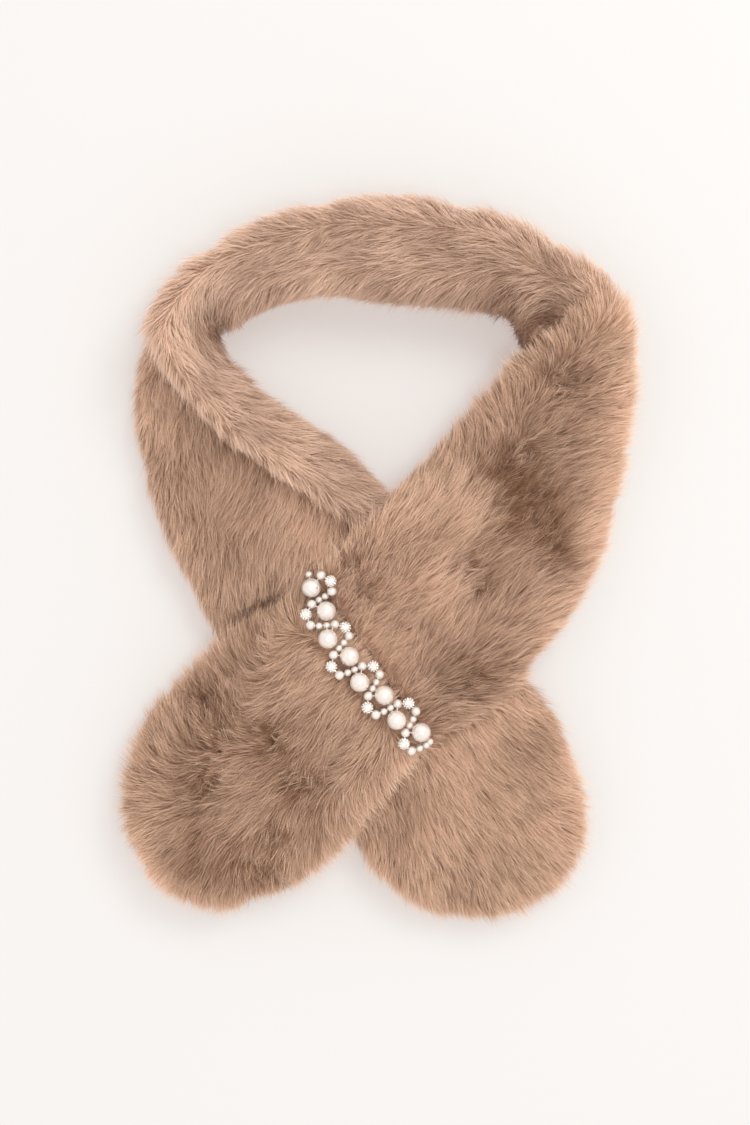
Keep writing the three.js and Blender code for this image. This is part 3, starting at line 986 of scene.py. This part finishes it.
fur_stretch(
    "upper_tail", FUR_FACE, locks=7600,
    creases=(
        (-34, -116, -10, -90, 6, 3),
        (-75, -60, -62, -66, 6, 2),
        (-84, -122, -108, -112, 6, 3),
        (-70, -90, -50, -82, 6, 3),
        (-100, -140, -122, -150, 8, 2),
        (-60, -150, -66, -178, 9, 2),
        (-104, -70, -90, -84, 8, 2),
        (-80, -38, -42, -22, 6, 4),
    ),
    zones=(
        (-65, -47, 78, 0.47),
        (-113, -83, 95, 0.56),
        (-124, -123, 180, 0.46),
        (-121, -144, 210, 0.75),
        (-85, -174, 265, 0.5),
        (-55, -169, 295, 0.5),
        (-24, -148, 325, 0.63),
        (-4, -133, -65, 0.6),
        (-65, -128, 215, 0.5),
        (-45, -102, 220, 0.37),
        (-34, -82, 220, 0.41),
        (-39, -52, 225, 0.56),
        (-88, -70, 88, 0.41),
        (-100, -150, 225, 0.32),
        (-40, -140, 250, 0.36),
        (-26, -24, 42, 0.45),
        # painted light: lighter beside the strap, where the fur lies in the pearls' shade
        (-17, -36, 42, 0.81),
        (-8, -48, 42, 0.85),
        (1, -60, 42, 0.85),
        (11, -72, 42, 0.9),
        (-22, -62, 220, 0.62),
        (-8, -82, 220, 0.5),
        (-82, -152, 240, 0.15),
        (-124, -104, 118, 0.55),
        (-113, -160, 228, 1.15),
        (-97, -57, 110, 0.95),
    ),
    swirls=(
        (-84, -112, 11, 1.0, -0.32),
        (-50, -88, 10, -0.9, -0.45),
        (-88, -77, 9, 0, -0.2),
        (-79, -93, 8, 0, -0.15),
        (-36, -108, 9, 0, -0.15),
        (-49, -137, 8, 0, -0.25),
        (-60, -155, 11, 0, -0.3),
    ),
    clump_turn=1.6,
)

for kind in range(LOCK_KINDS):
    bpy.data.objects.remove(bpy.data.objects[f"lock_{kind}"])

# The pearl strap
# Large pearls strung on a clear thread, to alternate sides, each with a half ring of small
# pearls and one ball paved with rhinestones. It is sewn on at both ends, over the gathered fur.

PEARLS = 8
STRAP_START = 12.5 * MM  # from the strap's upper end to its first large pearl
PEARL_PITCH = 13.2 * MM
PEARL_OFFSET = 2.3 * MM  # to alternate sides of the middle line
END_REACH = 6.7 * MM  # from the first and last large pearl to the small bead at each end
PEARL_SIZE = 9.8 * MM
BALL_SIZE = 6.0 * MM
MIDDLE_SIZE = 4.8 * MM
SMALL_SIZE = 3.8 * MM
HALF_RING = (  # along and across from the large pearl in mm, diameter
    (-5.2, 6.1, MIDDLE_SIZE), (-1.5, 10.3, BALL_SIZE), (3.9, 9.9, MIDDLE_SIZE),
    (5.7, 6.0, SMALL_SIZE), (6.8, 2.5, SMALL_SIZE),
)
BEAD_GAP = 0.3 * MM  # between a bead and the fur's form
BEAD_SINK = 0.8 * MM  # how far a bead beds down among the tips of the fur
FEEL_WAYS = 12
FEEL_SHARES = (0.3, 0.55, 0.75, 0.9, 1)  # of a bead's radius, where it may touch the fur
ABOVE_ALL = 100 * MM  # higher than any fur
LINE_STEPS = 600
HOLE_SHARE = 0.1  # a bead's drilled hole, as a share of its diameter
BALL_CORE = 0.43  # radius under the stones, as a share of the ball's diameter
STONE_SIDES = 8
STONE_RIMS = ((0.088, 0.425), (0.088, 0.45), (0.05, 0.5))  # radius, height from the ball's centre
THREAD_SIZE = 0.7 * MM
THREAD_STEP = 2 * MM


def curve_point(points, t):
    """A point of the smooth line through the points, at t from 0 to 1."""
    last = len(points) - 1
    at = min(int(t * last), last - 1)
    u = t * last - at
    a, b, c, d = (points[min(max(at + i, 0), last)] for i in (-1, 0, 1, 2))
    square, cube = 2 * a - 5 * b + 4 * c - d, 3 * b - a - 3 * c + d
    return b + ((c - a) * u + square * u ** 2 + cube * u ** 3) / 2


def fur_height(x, y):
    """How high the fur's tips stand at one place under the strap."""
    found = [SOLIDS[name].ray_cast(Vector((x, y, ABOVE_ALL)), Vector((0, 0, -1)))[0]
             for name in ("left_front", "under_tail", "right_front", "upper_tail")]
    return max([hit.z for hit in found if hit], default=0)


def bead_rest(x, y, size):
    """The centre of a bead that rests on the fur at that place."""
    radius = size / 2 + BEAD_GAP
    height = fur_height(x, y) + radius
    for turn in range(FEEL_WAYS):
        for share in FEEL_SHARES:
            away, angle = radius * share, turn * math.tau / FEEL_WAYS
            felt = fur_height(x + away * math.cos(angle), y + away * math.sin(angle))
            height = max(height, felt + math.sqrt(radius ** 2 - away ** 2))
    return Vector((x, y, height - BEAD_SINK))


def strung_beads():
    """Every bead in the order it is strung: its centre and its diameter."""
    points = [np.array(row) * MM for row in STRAP]
    line = np.array([curve_point(points, i / LINE_STEPS) for i in range(LINE_STEPS + 1)])
    run = np.concatenate(((0,), np.cumsum(np.linalg.norm(np.diff(line, axis=0), axis=1))))
    beads = []

    def add(along, across, size):
        place = [np.interp(along, run, line[:, axis]) for axis in (0, 1)]
        ahead = [np.interp(along + MM, run, line[:, axis]) for axis in (0, 1)]
        behind = [np.interp(along - MM, run, line[:, axis]) for axis in (0, 1)]
        way = np.subtract(ahead, behind)
        way /= np.linalg.norm(way)
        x, y = place[0] + way[1] * across, place[1] - way[0] * across
        beads.append((bead_rest(x, y, size), size))

    add(STRAP_START - END_REACH, PEARL_OFFSET, SMALL_SIZE)
    for pearl in range(PEARLS):
        side = 1 if pearl % 2 == 0 else -1
        start = STRAP_START + pearl * PEARL_PITCH
        add(start, side * PEARL_OFFSET, PEARL_SIZE)
        for along, across, size in HALF_RING:
            add(start + along * MM, side * (PEARL_OFFSET - across * MM), size)
    add(STRAP_START + (PEARLS - 1) * PEARL_PITCH + END_REACH, -PEARL_OFFSET, SMALL_SIZE)
    return beads


def drilled_bead(name, rings, sides):
    """A bead one unit across, with its hole along Z."""
    hole = HOLE_SHARE / 2
    reach = math.acos(hole / 0.5)
    profile = [(0.5 * math.cos(a), 0.5 * math.sin(a)) for a in np.linspace(-reach, reach, rings)]
    profile += [(hole * 0.8, profile[-1][1] - 0.02), (hole * 0.8, profile[0][1] + 0.02)]
    points = [(r * math.cos(i * math.tau / sides), r * math.sin(i * math.tau / sides), z)
              for r, z in profile for i in range(sides)]
    faces = []
    for ring in range(len(profile)):
        low, high = ring * sides, (ring + 1) % len(profile) * sides
        for i in range(sides):
            after = (i + 1) % sides
            faces.append((low + i, low + after, high + after, high + i))
    mesh = bpy.data.meshes.new(name)
    mesh.from_pydata(points, [], faces)
    mesh.polygons.foreach_set("use_smooth", [True] * len(faces))
    return mesh


def paved_ball(name):
    """A ball one unit across, set all over with small cut stones."""
    shape = bmesh.new()
    bmesh.ops.create_icosphere(shape, subdivisions=2, radius=BALL_CORE)
    seats = [vertex.co.normalized() for vertex in shape.verts]
    for seat in seats:
        side = seat.orthogonal().normalized()
        other = seat.cross(side)
        turns = [i * math.tau / STONE_SIDES for i in range(STONE_SIDES)]
        around = [side * math.cos(turn) + other * math.sin(turn) for turn in turns]
        rims = [[shape.verts.new(seat * height + way * radius) for way in around]
                for radius, height in STONE_RIMS]
        for low, high in zip(rims, rims[1:]):
            for i in range(STONE_SIDES):
                after = (i + 1) % STONE_SIDES
                shape.faces.new((low[i], low[after], high[after], high[i]))
        shape.faces.new(rims[-1])
    mesh = bpy.data.meshes.new(name)
    shape.to_mesh(mesh)
    shape.free()
    return mesh


def bead_tree():
    """Geometry nodes that put one bead at each point, as large and turned as the point says."""
    inputs = {"Places": "Geometry", "Bead": "Object", "Finish": "Material"}
    tree, given = new_tree("strung_beads", inputs, "Beads")
    bead = node_of(tree, "GeometryNodeObjectInfo", Object=given["Bead"])
    size = node_of(tree, "GeometryNodeInputNamedAttribute", data_type="FLOAT", Name="size")
    string = node_of(
        tree, "GeometryNodeInputNamedAttribute", data_type="FLOAT_VECTOR", Name="string")
    turned = node_of(
        tree, "FunctionNodeAlignRotationToVector", axis="Z", Vector=string.outputs["Attribute"])
    put_on = node_of(
        tree, "GeometryNodeInstanceOnPoints", Points=given["Places"],
        Instance=bead.outputs["Geometry"], Rotation=turned.outputs["Rotation"],
        Scale=size.outputs["Attribute"])
    real = node_of(tree, "GeometryNodeRealizeInstances", Geometry=put_on.outputs["Instances"])
    finish = node_of(
        tree, "GeometryNodeSetMaterial", Geometry=real.outputs["Geometry"],
        Material=given["Finish"])
    node_of(tree, "NodeGroupOutput", Beads=finish.outputs["Geometry"])
    return tree


BEAD_TREE = bead_tree()


def string_on(name, beads, ways, chosen, template, finish):
    """The chosen beads of the string, as one piece."""
    places = bpy.data.meshes.new(name + "_places")
    places.from_pydata([beads[i][0] for i in chosen], [], [])
    put(places, "size", "FLOAT", [beads[i][1] for i in chosen])
    put(places, "string", "FLOAT_VECTOR", [ways[i] for i in chosen])
    pattern = bpy.data.objects.new(name + "_pattern", template)
    host = new_piece(name + "_host", places)
    values = {"Bead": pattern, "Finish": finish}
    piece = new_piece(name, grown(host, BEAD_TREE, values, name))
    bpy.data.objects.remove(host)
    bpy.data.objects.remove(pattern)
    return piece


def thread_piece(beads):
    """The thread that runs through the beads, lifted over the fur between them."""
    stops = [beads[0][0]]
    for (start, _), (end, _) in zip(beads, beads[1:]):
        steps = math.ceil((end - start).length / THREAD_STEP)
        for step in range(1, steps):
            stop = start.lerp(end, step / steps)
            stop.z = max(stop.z, fur_height(stop.x, stop.y) + THREAD_SIZE - BEAD_SINK)
            stops.append(stop)
        stops.append(end)
    curve = bpy.data.curves.new("thread", "CURVE")
    curve.dimensions = "3D"
    curve.bevel_depth = THREAD_SIZE / 2
    curve.bevel_resolution = 1
    curve.use_fill_caps = True
    spline = curve.splines.new("POLY")
    spline.points.add(len(stops) - 1)
    for point, stop in zip(spline.points, stops):
        point.co = (*stop, 1)
    laid = new_piece("thread_curve", curve)
    piece = new_piece("pearl_thread", plain_mesh(laid, "pearl_thread"))
    bpy.data.objects.remove(laid)
    return piece


def pearl_finish():
    """Ivory nacre: a milky body under a clear, lustrous skin, with faint cloudy bands."""
    stops = [(0.3, srgb(226, 215, 206)), (0.7, srgb(240, 232, 225))]
    material, shader, _ = patterned(
        "nacre", "ShaderNodeTexNoise", "Fac", stops, Scale=320.0, Distortion=1.2)
    set_inputs(shader, Metallic=0.35, Roughness=0.3)
    set_inputs(shader, Coat_Weight=1.0, Coat_IOR=1.8, Coat_Roughness=0.16)
    return material


def crystal_finish():
    """Foil-backed cut stones, each painted a little brighter or darker than the next as painted
    glints.
    """
    stops = [(0.1, srgb(228, 220, 208)), (0.6, srgb(255, 253, 250))]
    material, shader, _ = patterned(
        "rhinestone", "ShaderNodeTexVoronoi", "Distance", stops, Scale=1100.0)
    set_inputs(shader, Metallic=0.4, Roughness=0.12, Coat_Weight=1.0)
    return material


def thread_finish():
    """Pale clear nylon."""
    stops = [(0.0, srgb(214, 206, 196)), (1.0, srgb(236, 230, 222))]
    material, shader, _ = patterned("nylon", "ShaderNodeTexWave", "Fac", stops, Scale=600.0)
    set_inputs(shader, Roughness=0.25)
    return material


def make_strap():
    """All the beads in their places on the strap, and the thread through them."""
    beads = strung_beads()
    centres = [centre for centre, _ in beads]
    before, after = [centres[0]] + centres[:-1], centres[1:] + [centres[-1]]
    ways = [(end - start).normalized() for start, end in zip(before, after)]
    nacre = pearl_finish()
    kinds = (
        ("large_pearls", "pearl", PEARL_SIZE, drilled_bead("large_pearl", 22, 36), nacre),
        ("middle_pearls", "pearl", MIDDLE_SIZE, drilled_bead("middle_pearl", 14, 24), nacre),
        ("small_pearls", "pearl", SMALL_SIZE, drilled_bead("small_pearl", 12, 20), nacre),
        ("rhinestone_balls", "crystal", BALL_SIZE, paved_ball("paved_ball"), crystal_finish()),
    )
    for name, slot, size, template, finish in kinds:
        chosen = [i for i, bead in enumerate(beads) if bead[1] == size]
        piece = string_on(name, beads, ways, chosen, template, finish)
        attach(piece, "root")
        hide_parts("pearl_loop")
    thread = thread_piece(beads)
    thread.data.materials.append(thread_finish())
    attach(thread, "root")
    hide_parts("pearl_loop")


make_strap()
